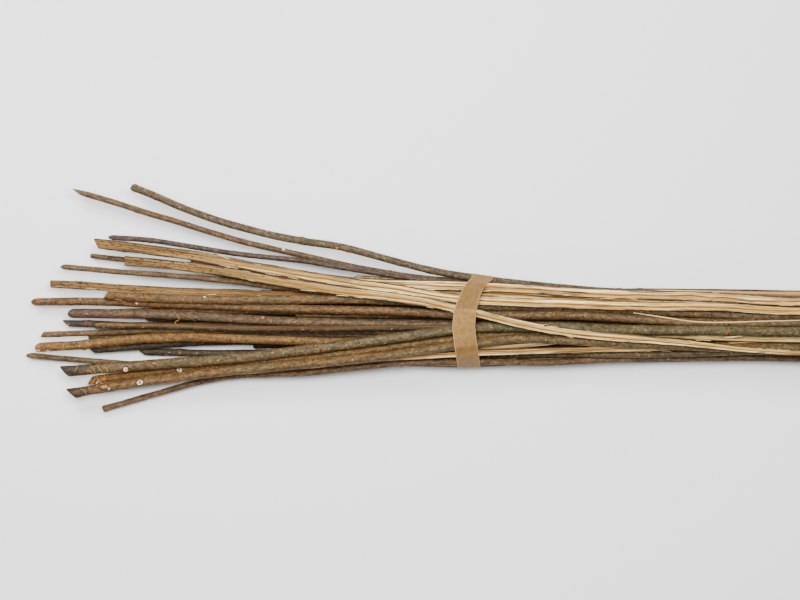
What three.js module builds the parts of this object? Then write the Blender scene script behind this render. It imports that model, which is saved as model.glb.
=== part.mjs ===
// A bundle of cut hazel twigs for wattle work, lying on a flat surface and held by one paper band.
// Some twigs are whole and round, in their bark. Others are split lengthwise, so that a flat face of
// bare wood shows beside the bark. The cut butt ends fan out on the left and the thin ends lie on the right.
// Millimetres. X runs along the bundle, Y across it and Z up. The table is written from an origin under the
// band, on the surface, and the finished bundle is then moved so that its middle lies over the origin.
import * as THREE from "three";

// The band, a strip of paper round the bundle
const BAND_WIDTH = 29;
const BAND_THICKNESS = 0.8;
const BAND_GAP = 0.5;
const BAND_SIDES = 44;
const BAND_COLUMNS = 5;
const BAND_SLACK = 2; // how far beside its own place a part of the band still clears the twigs
const BAND_REACH = 80; // how far from the origin the twigs lie on the paper, not on the surface

// How the twigs are drawn
const RING_STEP = 80; // distance between two cross-sections of a twig
const LEFT_END = -560;
const RIGHT_END = 720;
const WHOLE_SIDES = 6;
const SPLIT_SIDES = 6;
const SPLIT_FLAT = 0.3; // height of a split twig's flat face above its centre, as a share of its radius

// How the twigs lie against each other
const TWIG_GAP = 0.7;
const FLOOR_GAP = 0.1;
const SETTLE_ROUNDS = 900;
const CONTACTS_PER_STEP = 5;
const HELD = 0.12; // how far a twig that shows gives way sideways, against 1 for a covered one
const TARGET_PULL = 0.02;
const STIFFNESS = 0.25;

// The routes are written as the distance across the bundle at stations this far apart
const STATION_STEP = 100;
const LAST_STATION = 400;

// Twigs that show from above.
// butt: where the cut end is, [along, across]. across: at each station to the right of the butt, or
// bends: the same with the place of each, [along, across], where the twig bends more.
// heights: of the centre line at the butt, under the band and at the thin end.
// thick: at the butt and at the thin end. cut: how far the cut end leans, [across, up].
const SHOWN = [
  { name: "whole_twig_top_edge", thick: [10.2, 8], butt: [-417, 167], cut: [-0.6, 0],
    bends: [[-400, 160], [-350, 139], [-300, 122], [-250, 108.5], [-200, 98], [-150, 90], [-100, 77],
      [-50, 64], [0, 55], [100, 42], [200, 35], [300, 31], [400, 27]], heights: [30, 30, 22] },
  { name: "whole_twig_long_pointed", thick: [8.2, 6], butt: [-487, 160.5], cut: [1.25, 0],
    bends: [[-450, 150], [-400, 135], [-350, 120], [-300, 104], [-250, 90.5], [-200, 80], [-150, 69],
      [-100, 59.5], [-50, 52], [0, 48], [100, 38], [200, 30], [300, 25], [400, 21]], heights: [24, 20, 10] },
  { name: "whole_twig_upper_slim", thick: [6.8, 6], butt: [-444, 104], cut: [0, 1.6],
    bends: [[-400, 100.5], [-350, 93], [-300, 84.5], [-250, 79.5], [-200, 74], [-150, 65], [-100, 57],
      [-50, 49], [0, 43], [100, 34], [200, 27], [300, 22], [400, 18]], heights: [18, 26, 15] },
  { name: "split_twig_upper_broad", thick: [13, 9.5], butt: [-461, 96], cut: [0.5, 0], roll: [-4, 8],
    across: [88, 74, 55, 40, 26, 20, 17, 16, 11], heights: [33, 45, 33] },
  { name: "split_twig_crossing", thick: [12, 9.5], butt: [-426, 74], cut: [0, 0], roll: [-6, -22],
    across: [73, 61, 42, 31, 12, -11, -22, -31, -40], heights: [22, 57, 40] },
  { name: "whole_twig_under_split", thick: [6.4, 6], butt: [-469, 81], cut: [0, 0.3],
    across: [72, 57, 40, 34, 30, 25, 20, 14, 8], heights: [8, 23, 15] },
  { name: "whole_twig_slim_left", thick: [6.8, 8.4], butt: [-504, 66], cut: [0, 1.4],
    across: [58, 49, 37, 28, 21, 14, 8, 3, 0], heights: [22, 33, 23] },
  { name: "split_twig_left_gold", thick: [10.2, 8.5], butt: [-519, 45], cut: [0.1, 0], roll: [-8, 10],
    across: [44, 38, 34, 30, 25, 17, 12, 8, 4, 2], heights: [20, 24, 15] },
  { name: "whole_twig_left_long", thick: [10.2, 12], butt: [-541, 22], cut: [0, 1],
    across: [24, 21, 17, 14, 11, 6, 5, 1, -7, -7], heights: [14, 43, 30] },
  { name: "whole_twig_middle_bright", thick: [10.5, 10], butt: [-449, 31], cut: [-0.6, 0],
    across: [27, 25, 25, 24, 18, 14, 12, 6, 4], heights: [27, 41, 31] },
  { name: "whole_twig_dark_round", thick: [12.2, 9.6], butt: [-494, 8], cut: [0, 1],
    across: [6.5, 2, -4, -7, -8, -9, -10, -12, -14], heights: [20, 33, 22] },
  { name: "whole_twig_dark_slanted", thick: [8.4, 7], butt: [-501, -4], cut: [1.1, 0],
    across: [-6, -7, -8, -8, -8, -9, -11, -13, -15], heights: [7, 24, 15] },
  { name: "split_twig_middle_tip", thick: [9.6, 8.5], butt: [-462, -6], cut: [0, 0], roll: [60, 84],
    across: [-6.5, -9, -10, -9, -8, -7, -8, -10, -12], heights: [22, 24, 16] },
  { name: "whole_twig_left_brown", thick: [7, 9], butt: [-530, -18], cut: [-0.6, 0],
    across: [-17, -14, -13, -13, -14, -13, -14, -16, -18, -20], heights: [15, 34, 22] },
  { name: "whole_twig_under_dark", thick: [7.4, 7], butt: [-472, -22], cut: [0.2, 0],
    across: [-20, -18, -19, -19, -18, -17, -18, -20, -22], heights: [7, 24, 15] },
  { name: "whole_twig_thick_bright", thick: [11.6, 10], butt: [-535, -35], cut: [0, 1.1],
    across: [-33, -23, -23, -26, -27, -21, -24, -30, -34, -36], heights: [22, 38, 24] },
  { name: "whole_twig_small_point", thick: [7.4, 7], butt: [-547, -45], cut: [0, 1.8],
    across: [-49, -55, -50, -42, -35, -29, -28, -30, -32, -33], heights: [8, 24, 15] },
  { name: "whole_twig_thick_slanted", thick: [13, 11.4], butt: [-502, -64], cut: [0.9, 0],
    across: [-57, -49, -38, -25, -10, -9, -12, -13, -14], heights: [21, 47, 27] },
  { name: "whole_twig_orange", thick: [10.4, 8.6], butt: [-470, -75.5], cut: [-0.6, 0],
    across: [-66.5, -56, -46, -35, -22, -16, -20, -24, -27], heights: [10, 32, 18] },
  { name: "whole_twig_thick_low", thick: [12, 10.6], butt: [-493, -92.5], cut: [1.15, 0],
    across: [-77, -64, -55, -44, -30, -22, -29, -33, -35], heights: [22, 44, 14] },
  { name: "whole_twig_low_edge", thick: [7.8, 8.8], butt: [-454, -112], cut: [0.4, 0],
    bends: [[-400, -96], [-350, -82], [-300, -71.5], [-250, -68], [-200, -66], [-150, -60], [-100, -55],
      [-50, -52], [0, -51], [100, -52], [200, -48.5], [300, -46.5], [400, -48]], heights: [7, 23, 18] },
  { name: "whole_twig_shaded_upper", thick: [10.4, 7], butt: [-470, -36.5], cut: [1.2, 0],
    across: [-32.5, -25.5, -27, -26, -22, -22, -25, -28, -30], heights: [7, 15, 8] },
  { name: "whole_twig_shaded_lower", thick: [9, 7], butt: [-407, -39], cut: [1.2, 0],
    across: [-42, -39, -38, -37, -38, -39, -40, -41], heights: [7, 16, 8] },
  { name: "whole_twig_small_middle", thick: [7, 7.4], butt: [-429, 11], cut: [-0.5, 0],
    across: [12, 11, 10, 10, 9, 6, 2, -1, -3], heights: [8, 33, 23] },
  { name: "split_twig_top_pale", thick: [12.5, 10.5], butt: [-344, 76], cut: [0.3, 0], roll: [0, 6],
    across: [70, 54, 45, 42, 37, 31, 29, 23], heights: [14, 37, 31] },
  { name: "split_twig_top_narrow", thick: [9.5, 8.5], butt: [-294, 68], cut: [0.3, 0], roll: [6, 0],
    across: [49, 38, 35, 28, 23, 20, 17], heights: [8, 33, 25] },
  { name: "split_twig_far_edge", thick: [8.5, 8], butt: [-138, 51], cut: [0, 0.4], roll: [25, 35],
    across: [49, 46, 38, 34, 33, 31], heights: [8, 10, 20] },
  { name: "split_twig_low_rising", thick: [8.8, 7.8], butt: [-356, -64], cut: [0.4, 0], roll: [-18, 22],
    across: [-60, -50, -41, -36, -27, -17, -17.5, -21], heights: [8, 41, 38] },
  { name: "split_twig_low_middle", thick: [8.6, 7.6], butt: [-380, -71], cut: [0.4, 0], roll: [-16, -34],
    across: [-66, -57, -48, -41, -37, -36, -32, -28], heights: [8, 38, 30] },
  { name: "split_twig_middle_edge", thick: [9.5, 8.5], butt: [-212, 6], cut: [0.4, 0], roll: [40, 62],
    across: [7, 9, 11, 8, -2, -2], heights: [20, 30, 28] },
  { name: "whole_twig_low_inner", thick: [8, 8], butt: [-330, -68], cut: [-0.4, 0],
    across: [-67, -62, -52, -46, -43, -42, -39, -37], heights: [8, 29, 20] },
];

// Twigs under the others: [across and height under the band, along of the butt, thick, split or whole].
const COVERED = [
  [-38, 8, -250, 10, "whole"],
  [-27, 8, -262, 10.5, "whole"],
  [-16, 8, -300, 9.5, "split"],
  [-5, 8, -380, 10.5, "whole"],
  [6, 8, -350, 10, "whole"],
  [17, 8, -280, 10.5, "split"],
  [28, 8, -230, 10, "whole"],
  [39, 8, -190, 9.5, "whole"],
  [-46, 16, -210, 9, "split"],
  [-11, 16, -360, 10, "whole"],
  [0, 16, -400, 9.5, "whole"],
  [11, 16, -390, 10, "whole"],
  [22, 16, -310, 10, "split"],
  [33, 16, -240, 9.5, "whole"],
  [-40, 25, -270, 9.5, "whole"],
];
const COVERED_FAN = [-0.0008, 0.28]; // how the covered twigs spread towards their butts and their thin ends

// A repeatable number from 0 to 1 for the n-th twig, where one twig only has to differ from the next.
function vary(n, salt) {
  const wave = Math.sin(n * 12.9898 + salt * 78.233) * 43758.5453;
  return wave - Math.floor(wave);
}

const mix = (a, b, t) => a + (b - a) * t;

// A smooth line through points [x, value], read at any x.
function smoothLine(points) {
  const curve = new THREE.SplineCurve(points.map(([x, v]) => new THREE.Vector2(x, v)));
  const spans = points.length - 1;
  return (x) => {
    let span = 0;
    while (span < spans - 1 && x > points[span + 1][0]) span += 1;
    let low = span / spans;
    let high = (span + 1) / spans;
    for (let halving = 0; halving < 24; halving += 1) {
      const middle = (low + high) / 2;
      if (curve.getPoint(middle).x < x) low = middle;
      else high = middle;
    }
    return curve.getPoint((low + high) / 2).y;
  };
}

// The stations to the right of a butt end.
function stationsAfter(x) {
  const first = Math.ceil((x + 15) / STATION_STEP) * STATION_STEP;
  const count = (LAST_STATION - first) / STATION_STEP + 1;
  return Array.from({ length: count }, (_, i) => first + i * STATION_STEP);
}

// A twig that shows: its table row with the routes as functions of x.
function shownTwig(row, n) {
  const stations = stationsAfter(row.butt[0]);
  const bends = row.bends ?? row.across.slice(-stations.length).map((y, i) => [stations[i], y]);
  const last = bends[bends.length - 1][1];
  const tipX = mix(590, RIGHT_END - 10, vary(n, 1));
  const tipY = last + (last + 8) * 0.2 + mix(-5, 5, vary(n, 2));
  const route = [row.butt, ...bends, [tipX, tipY]];
  const [buttZ, bandZ, tipZ] = row.heights;
  const level = smoothLine([[row.butt[0], buttZ], [-200, mix(buttZ, bandZ, 0.62)], [0, bandZ],
    [300, mix(bandZ, tipZ, 0.45)], [tipX, tipZ]]);
  return { ...row, route: smoothLine(route), level, left: row.butt[0], right: tipX, gives: HELD };
}

// A twig under the others, spread a little at both ends.
function coveredTwig([across, height, buttX, thick, kind], n) {
  const tipX = mix(560, RIGHT_END - 30, vary(n, 3));
  const centre = -2;
  const route = smoothLine([
    [buttX, centre + (across - centre) * (1 - buttX * -COVERED_FAN[0])],
    [0, across],
    [tipX, centre - 6 + (across - centre) * (1 - COVERED_FAN[1]) + mix(-4, 4, vary(n, 4))],
  ]);
  const level = smoothLine([[buttX, height * 0.8], [0, height], [tipX, height * 0.7]]);
  return {
    name: `${kind}_twig_covered_${String(n + 1).padStart(2, "0")}`,
    thick: [thick, thick * 0.8],
    cut: [mix(-0.8, 0.8, vary(n, 5)), mix(-0.3, 0.8, vary(n, 6))],
    roll: [mix(-25, 25, vary(n, 7)), mix(-25, 25, vary(n, 8))],
    route, level, left: buttX, right: tipX, gives: 1,
  };
}

// The x of each cross-section from a butt end to a thin end, closer together where a twig bends more.
function ringPlaces(left, right, bendsMore) {
  const places = [left];
  const stepAt = (x) => (bendsMore && x < 0 ? RING_STEP / 2 : RING_STEP);
  let x = Math.ceil((left + stepAt(left) * 0.35) / stepAt(left)) * stepAt(left);
  while (x < right - RING_STEP * 0.35) {
    places.push(x);
    x += stepAt(x);
  }
  return [...places, right];
}

function prepare(twig) {
  const places = ringPlaces(twig.left, twig.right, Boolean(twig.bends));
  const split = twig.name.startsWith("split");
  const start = places.map((x) => [twig.route(x), twig.level(x)]);
  return { ...twig, places, split, start, now: start.map(([y, z]) => [y, z]) };
}

// A twig at x: which two cross-sections it lies between, its centre, radius and flat face's direction.
function sectionAt(twig, x) {
  const { places, now } = twig;
  let k = 0;
  while (k < places.length - 2 && x > places[k + 1]) k += 1;
  const t = THREE.MathUtils.clamp((x - places[k]) / (places[k + 1] - places[k]), 0, 1);
  const along = (x - twig.left) / (twig.right - twig.left);
  const roll = THREE.MathUtils.degToRad(twig.split ? mix(...twig.roll, along) : 0);
  return {
    k, t,
    y: mix(now[k][0], now[k + 1][0], t),
    z: mix(now[k][1], now[k + 1][1], t),
    radius: mix(...twig.thick, along) / 2,
    up: [Math.sin(roll), Math.cos(roll)],
  };
}

// How deep two sections lie in each other, and the direction from a to b that parts them soonest.
function overlap(a, sectionA, b, sectionB) {
  const dy = sectionB.y - sectionA.y;
  const dz = sectionB.z - sectionA.z;
  const distance = Math.hypot(dy, dz) || 1e-6;
  const reach = sectionA.radius + sectionB.radius + TWIG_GAP;
  let found = { depth: reach - distance, ny: dy / distance, nz: dz / distance };
  if (found.depth <= 0) return null;
  const tryFlat = (own, other, sign) => {
    const above = sign * (dy * own.up[0] + dz * own.up[1]);
    const depth = own.radius * SPLIT_FLAT + other.radius + TWIG_GAP - above;
    if (depth < found.depth) found = { depth, ny: sign * own.up[0], nz: sign * own.up[1] };
  };
  if (a.split) tryFlat(sectionA, sectionB, 1);
  if (b.split) tryFlat(sectionB, sectionA, -1);
  return found.depth > 0 ? found : null;
}

function push(twig, section, dy, dz) {
  const { k, t } = section;
  const share = (1 - t) * (1 - t) + t * t;
  twig.now[k][0] += (dy * twig.gives * (1 - t)) / share;
  twig.now[k][1] += (dz * (1 - t)) / share;
  twig.now[k + 1][0] += (dy * twig.gives * t) / share;
  twig.now[k + 1][1] += (dz * t) / share;
}

// Parts every pair of twigs that overlap near x, and returns the deepest overlap found.
function partAt(twigs, x) {
  const near = twigs.filter((twig) => x > twig.left - 12 && x < twig.right + 12);
  const sections = near.map((twig) => sectionAt(twig, x));
  let deepest = 0;
  near.forEach((a, i) => {
    for (let j = i + 1; j < near.length; j += 1) {
      const b = near[j];
      const found = overlap(a, sections[i], b, sections[j]);
      if (!found) continue;
      deepest = Math.max(deepest, found.depth);
      const ease = ((a.gives + b.gives) / 2) * found.ny ** 2 + found.nz ** 2;
      const half = (found.depth * 0.5) / Math.max(0.3, ease);
      push(a, sections[i], -found.ny * half, -found.nz * half);
      push(b, sections[j], found.ny * half, found.nz * half);
      sections[i] = sectionAt(a, x);
      sections[j] = sectionAt(b, x);
    }
  });
  return deepest;
}

// Draws each twig towards its own route, keeps its bends smooth, and keeps it above what it lies on.
function holdShape(twig, pull, stiffness) {
  const off = twig.now.map(([y, z], k) => [y - twig.start[k][0], z - twig.start[k][1]]);
  twig.now.forEach((point, k) => {
    const before = off[Math.max(0, k - 1)];
    const after = off[Math.min(off.length - 1, k + 1)];
    for (const axis of [0, 1]) {
      point[axis] += stiffness * ((before[axis] + after[axis]) / 2 - off[k][axis]);
      point[axis] -= pull * off[k][axis];
    }
  });
}

function keepAbove(twig) {
  twig.now.forEach((point, k) => {
    const x = twig.places[k];
    const radius = sectionAt(twig, x).radius;
    const paper = Math.abs(x) <= BAND_REACH ? BAND_THICKNESS + BAND_GAP : FLOOR_GAP;
    point[1] = Math.max(point[1], radius + paper);
  });
}

// Lets the twigs settle against each other until none overlap.
function settle(twigs) {
  const step = RING_STEP / CONTACTS_PER_STEP;
  for (let round = 0; round < SETTLE_ROUNDS; round += 1) {
    const ease = Math.max(0, 1 - round / (SETTLE_ROUNDS * 0.7));
    for (const twig of twigs) {
      holdShape(twig, TARGET_PULL * ease, STIFFNESS * ease);
      keepAbove(twig);
    }
    let deepest = 0;
    for (let x = LEFT_END; x <= RIGHT_END; x += step) deepest = Math.max(deepest, partAt(twigs, x));
    for (const twig of twigs) keepAbove(twig);
    if (ease === 0 && deepest < TWIG_GAP * 0.4) break;
  }
}

// One cross-section of a twig as points round its centre, [across, up], turned with its flat face.
function outline(twig, radius, up) {
  const turned = (across, height) => [across * up[1] + height * up[0], height * up[1] - across * up[0]];
  if (!twig.split) {
    return Array.from({ length: WHOLE_SIDES }, (_, i) => {
      const angle = (i / WHOLE_SIDES) * 2 * Math.PI;
      return [Math.cos(angle) * radius, Math.sin(angle) * radius];
    });
  }
  const edge = Math.asin(SPLIT_FLAT);
  return Array.from({ length: SPLIT_SIDES }, (_, i) => {
    const angle = mix(Math.PI - edge, 2 * Math.PI + edge, i / (SPLIT_SIDES - 1));
    return turned(Math.cos(angle) * radius, Math.sin(angle) * radius);
  });
}

// A closed solid from rings of points, each ring joined to the next, with a face over each end.
function solidFromRings(rings) {
  const sides = rings[0].length;
  const points = rings.flat();
  const index = [];
  for (let ring = 0; ring < rings.length - 1; ring += 1) {
    for (let i = 0; i < sides; i += 1) {
      const a = ring * sides + i;
      const b = ring * sides + ((i + 1) % sides);
      index.push(a, b, a + sides, b, b + sides, a + sides);
    }
  }
  const last = (rings.length - 1) * sides;
  for (let i = 1; i < sides - 1; i += 1) index.push(0, i + 1, i, last, last + i, last + i + 1);
  const geometry = new THREE.BufferGeometry();
  geometry.setAttribute("position", new THREE.Float32BufferAttribute(points.flat(), 3));
  geometry.setIndex(index);
  geometry.computeVertexNormals();
  return geometry;
}

function twigSolid(twig) {
  const rings = twig.places.map((x, k) => {
    const { radius, up } = sectionAt(twig, x);
    const [y, z] = twig.now[k];
    const atButt = k === 0 ? 1 : 0;
    const atTip = k === twig.places.length - 1 ? 0.7 : 0;
    return outline(twig, radius, up).map(([across, height]) => {
      const lean = across * twig.cut[0] + height * twig.cut[1];
      return [x - lean * atButt + lean * atTip, y + across, z + height];
    });
  });
  return solidFromRings(rings);
}

// How far the twigs reach near x in one direction across the bundle.
function reachOf(twigs, x, angle) {
  let reach = -Infinity;
  for (const twig of twigs) {
    for (const place of [x - BAND_SLACK, x + BAND_SLACK]) {
      if (place < twig.left || place > twig.right) continue;
      const { y, z, radius } = sectionAt(twig, place);
      reach = Math.max(reach, y * Math.cos(angle) + z * Math.sin(angle) + radius);
    }
  }
  return reach;
}

// The corner between two sides of the band: where the lines that touch the twigs in both directions meet.
function bandCorner(twigs, x, side, grown) {
  const turn = (2 * Math.PI) / BAND_SIDES;
  const one = side * turn;
  const two = one + turn;
  const reachOne = reachOf(twigs, x, one) + grown;
  const reachTwo = reachOf(twigs, x, two) + grown;
  const y = (reachOne * Math.sin(two) - reachTwo * Math.sin(one)) / Math.sin(turn);
  const z = (reachTwo * Math.cos(one) - reachOne * Math.cos(two)) / Math.sin(turn);
  return [y, z];
}

// How far along the bundle the middle of the band sits: it slips to the right on the upper side.
function bandAlong(angle) {
  return 8.5 + 9 * Math.cos(angle) - 6 * Math.sin(angle) + 4.5 * Math.cos(2 * angle);
}

function bandSolid(twigs) {
  const loops = [];
  for (let i = 0; i < BAND_SIDES; i += 1) {
    const angle = ((i + 0.5) / BAND_SIDES) * 2 * Math.PI;
    const layer = (grown) => Array.from({ length: BAND_COLUMNS }, (_, column) => {
      const x = bandAlong(angle) + BAND_WIDTH * (column / (BAND_COLUMNS - 1) - 0.5);
      return [x, ...bandCorner(twigs, x, i, grown)];
    });
    const outer = layer(BAND_GAP + BAND_THICKNESS);
    const inner = layer(BAND_GAP);
    loops.push([...outer, ...inner.reverse()]);
  }
  const width = loops[0].length;
  const index = [];
  for (let i = 0; i < BAND_SIDES; i += 1) {
    for (let j = 0; j < width; j += 1) {
      const a = i * width + j;
      const b = i * width + ((j + 1) % width);
      const c = ((i + 1) % BAND_SIDES) * width + j;
      const d = ((i + 1) % BAND_SIDES) * width + ((j + 1) % width);
      index.push(a, c, b, b, c, d);
    }
  }
  const geometry = new THREE.BufferGeometry();
  geometry.setAttribute("position", new THREE.Float32BufferAttribute(loops.flat(2), 3));
  geometry.setIndex(index);
  geometry.computeVertexNormals();
  return geometry;
}

const bark = new THREE.MeshStandardMaterial({ color: 0x80603e, roughness: 0.75, metalness: 0 });
const splitWood = new THREE.MeshStandardMaterial({ color: 0xd9b887, roughness: 0.8, metalness: 0 });
const paper = new THREE.MeshStandardMaterial({ color: 0xb08d5b, roughness: 0.7, metalness: 0 });

const twigs = [...SHOWN.map(shownTwig), ...COVERED.map(coveredTwig)].map(prepare);
settle(twigs);

const bundle = new THREE.Group();
for (const twig of twigs) {
  const mesh = new THREE.Mesh(twigSolid(twig), twig.split ? splitWood : bark);
  mesh.name = twig.name;
  bundle.add(mesh);
}
const band = new THREE.Mesh(bandSolid(twigs), paper);
band.name = "paper_band";
bundle.add(band);

// The origin moves to the middle of the whole bundle, on the surface it lies on.
const box = new THREE.Box3().setFromObject(bundle);
bundle.position.set(-(box.min.x + box.max.x) / 2, -(box.min.y + box.max.y) / 2, -box.min.z);

export default bundle;
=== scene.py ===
import math

import bpy
import numpy as np
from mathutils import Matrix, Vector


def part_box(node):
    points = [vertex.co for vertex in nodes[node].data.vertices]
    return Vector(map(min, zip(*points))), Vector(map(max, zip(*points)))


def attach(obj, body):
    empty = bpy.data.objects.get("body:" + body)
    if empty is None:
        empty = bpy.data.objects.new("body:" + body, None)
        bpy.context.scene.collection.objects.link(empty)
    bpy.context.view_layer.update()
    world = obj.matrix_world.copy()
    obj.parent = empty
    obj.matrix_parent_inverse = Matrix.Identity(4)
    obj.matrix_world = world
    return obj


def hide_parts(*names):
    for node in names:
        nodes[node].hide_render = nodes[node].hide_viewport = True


# A bundle of cut twigs, seen from straight above, held by one band of kraft paper.
# Everything below is in metres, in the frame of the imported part.

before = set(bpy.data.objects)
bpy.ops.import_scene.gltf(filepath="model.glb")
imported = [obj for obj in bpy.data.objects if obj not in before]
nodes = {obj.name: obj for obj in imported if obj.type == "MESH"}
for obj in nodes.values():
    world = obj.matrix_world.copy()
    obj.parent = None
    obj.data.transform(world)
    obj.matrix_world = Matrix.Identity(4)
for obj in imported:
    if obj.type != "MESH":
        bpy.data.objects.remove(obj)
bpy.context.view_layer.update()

MM = 0.001
WIDTH_ON_PHOTO = 1.0  # the photograph shows a metre from its left edge to its right,
MEASURED_AT = 0.03  # at this height over the surface
LENS = 180
SENSOR = 36
BAND_WIDTH = 29 * MM

# The render shows colours paler than given. Fuller colours and a darker bark make up for it.
FULLNESS = 1.2
BARK_FULLNESS = 1.18
BARK_DEPTH = 0.36

# The twigs' own details, by the end of each name.
# Colours of the bark from butt to thin end, and of a split twig's bare wood
BARK = {
    "top_edge": [(118, 98, 74), (108, 90, 66)],
    "long_pointed": [(128, 98, 68), (110, 84, 60)],
    "upper_slim": [(106, 84, 74), (104, 82, 68)],
    "under_split": [(130, 100, 68), (104, 80, 58)],
    "slim_left": [(134, 100, 68), (122, 98, 66)],
    "left_long": [(146, 102, 66), (128, 98, 66)],
    "middle_bright": [(146, 108, 70), (124, 100, 72)],
    "dark_round": [(118, 88, 68), (122, 98, 70)],
    "dark_slanted": [(96, 74, 60), (96, 78, 58)],
    "left_brown": [(138, 104, 70), (118, 90, 62)],
    # this twig lies under others, and its dark bark is painted shade
    "under_dark": [(100, 78, 62), (96, 76, 58)],
    "thick_bright": [(160, 112, 62), (132, 100, 62)],
    "small_point": [(128, 100, 68), (122, 104, 74)],
    "thick_slanted": [(128, 100, 66), (112, 98, 66)],
    "orange": [(156, 106, 54), (124, 98, 60)],
    "thick_low": [(138, 100, 60), (124, 98, 60)],
    "low_edge": [(140, 104, 74), (126, 96, 66)],
    "small_middle": [(134, 100, 66), (120, 92, 62)],
    # these two twigs lie in the shade of others, and their dark bark is painted shade
    "shaded_upper": [(76, 58, 46), (80, 62, 44)],
    "shaded_lower": [(70, 52, 40), (80, 62, 44)],
    "low_inner": [(122, 94, 64), (112, 90, 62)],
}
# the dark bark of twigs not listed, most of them covered by others, is painted shade
BARK_DEFAULT = [(84, 64, 46), (80, 62, 44)]
WOOD = {
    "crossing": [(128, 99, 62), (255, 212, 148)],
    "upper_broad": [(128, 98, 60), (255, 206, 142)],
    "top_pale": [(146, 122, 84), (252, 211, 154)],
    "top_narrow": [(150, 126, 88), (248, 206, 149)],
    "left_gold": [(128, 102, 66), (112, 86, 56)],
    "middle_tip": [(136, 106, 70), (92, 72, 50)],
    # this twig's wood is made paler as painted light, against the shade that the twig over it casts
    "low_rising": [(180, 146, 98), (255, 218, 160)],
    "low_middle": [(180, 146, 98), (228, 192, 138)],
    "far_edge": [(180, 146, 98), (218, 182, 128)],
}
WOOD_DEFAULT = [(152, 116, 72), (178, 144, 98)]
# Where bare wood's first colour ends and its second begins, in millimetres from the band's middle
WEATHERED = {"top_pale": (-150, -20), "top_narrow": (-120, -10), "middle_tip": (-440, -380)}
# How much darker the bark is at some butt ends
DARK_BUTTS = {"thick_slanted": 0.8, "thick_low": 0.7, "dark_slanted": 0.3, "low_edge": 0.3}

# Scars where side shoots were cut off: distance along and across from the band's middle, and radius
SCARS = {
    "thick_bright": [(-530, -39, 2.4), (-521, -38.5, 1.8), (-110, -25, 1.2)],
    "thick_low": [(-444, -86, 1.6), (-406, -78, 3.3), (-224, -56, 0.8)],
    "orange": [(-461, -78, 1.7), (-358, -62, 3.3)],
    "thick_slanted": [(-424, -62, 3.2)],
    "left_long": [(-482, 26, 1.3), (-410, 21, 1.1)],
    "middle_bright": [(-325, 28, 1.3)],
    "long_pointed": [(-226, 87, 1.6)],
}
# Broken stubs that the bark has grown round, given the same way
STUBS = {
    "thick_low": [(-451, -84.5, 3.2)],
    "thick_slanted": [(-388, -53.5, 1.8), (-240, -40, 1.6)],
    "crossing": [(102, -1, 1.9)],
    "top_edge": [(-160, 91, 2.0)],
    "dark_round": [(-252, 3, 2.0)],
}
# Where the pith lies across a split face, from -1 to 1, if not near its middle
PITH = {"low_rising": -0.9, "low_middle": 0.3}
# Twigs that lie aside from their solid for some way: middle and half length of it, and how far aside
NUDGED = {"low_rising": (370, 140, -3.2)}
# Twigs that are slimmer than their solid: places along the bundle, and the share of its thickness
SLIMMER = {"crossing": ([215, 275, 330, 412], [1, 0.8, 0.68, 0.58])}
# Where fibres stand off a split face: twig, from and to along the bundle, how many
TORN = [
    ("upper_broad", -330, -20, 34),
    ("crossing", -300, 420, 46),
    ("top_pale", -120, 440, 46),
    ("top_narrow", -20, 440, 36),
    ("left_gold", -500, -150, 20),
    ("low_rising", 10, 330, 16),
    ("low_middle", 10, 330, 16),
    ("middle_edge", -200, 100, 12),
]
# Long loose slivers over the twigs: places [across, along], and thickness
LOOSE = [([(9, 210), (5.5, 234), (1.5, 260), (-2, 286), (-3, 320), (-1.5, 370), (0, 430)], 1.4)]
# Twigs whose butt end is worn round
ROUNDED = (
    "top_edge", "left_long", "dark_round", "thick_bright",
    "upper_slim", "slim_left", "small_point",
)

# How closely the twigs are drawn: distances between cross-sections, and points round each
STEP = 7 * MM
FINE_STEP = 1.625 * MM
LEAST_STEP = 0.4 * MM
PACKED_GAP = 0.012  # a packed twig's own cross-sections lie further apart than this, in metres
ROUND_SIDES = 24
ARC_SIDES = 17
FACE_SIDES = 11
SCAR_SIDES = 12
# How far a split twig's flat face lies above its middle and reaches aside, as shares of its radius
FACE_HEIGHT = 0.3
FACE_REACH = 0.954
# The rings of a cut end, as shares of its radius, and of a scar, with their height over the bark
CUT_RINGS = (0.86, 0.55, 0.24)
SCAR_RINGS = ((1.42, -0.5 * MM), (1.04, 0.3 * MM), (0.8, 0.6 * MM), (0.46, 0.4 * MM))
# How far knots lie apart, and how far from the band's middle there is none
KNOT_GAP = 84 * MM
COVERED_KNOT_GAP = 130 * MM
KNOT_CLEAR = 32 * MM
KNOT_TWIST = math.radians(148)
# Nothing reaches below this height over the surface
LOWEST = 0.05 * MM
TURN = 2 * math.pi
WAVE = 6.283  # a full turn, as the twigs' own waves take it
# The slots of a twig's materials
ON_BARK, ON_WOOD, ON_CUT, ON_RING, ON_CORE = range(5)


def linear(rgb):
    """A colour written as 0 to 255 on a screen, as the values that light works with."""
    value = np.asarray(rgb, float) / 255
    return np.where(value <= 0.04045, value / 12.92, ((value + 0.055) / 1.055) ** 2.4)


def tint(rgb, fullness=FULLNESS):
    """The same, a little fuller."""
    value = linear(rgb)
    grey = value @ np.array([0.2126, 0.7152, 0.0722])
    return np.clip(grey + (value - grey) * fullness, 0.002, 0.95)


def smooth_read(places, values, at):
    """A smooth line through values given at places, read at other places."""
    slopes = np.gradient(values, places, axis=0)
    k = np.clip(np.searchsorted(places, at) - 1, 0, len(places) - 2)
    span = places[k + 1] - places[k]
    t = (at - places[k]) / span
    if values.ndim > 1:
        span = span[:, None]
        t = t[:, None]
    a = (1 + 2 * t) * (1 - t) ** 2
    b = t * (1 - t) ** 2
    c = t**2 * (3 - 2 * t)
    d = t**2 * (t - 1)
    return a * values[k] + b * span * slopes[k] + c * values[k + 1] + d * span * slopes[k + 1]


def hump(away, reach):
    """1 in the middle, and falling smoothly towards 0 on both sides."""
    return np.exp(-((away / reach) ** 2))


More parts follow.
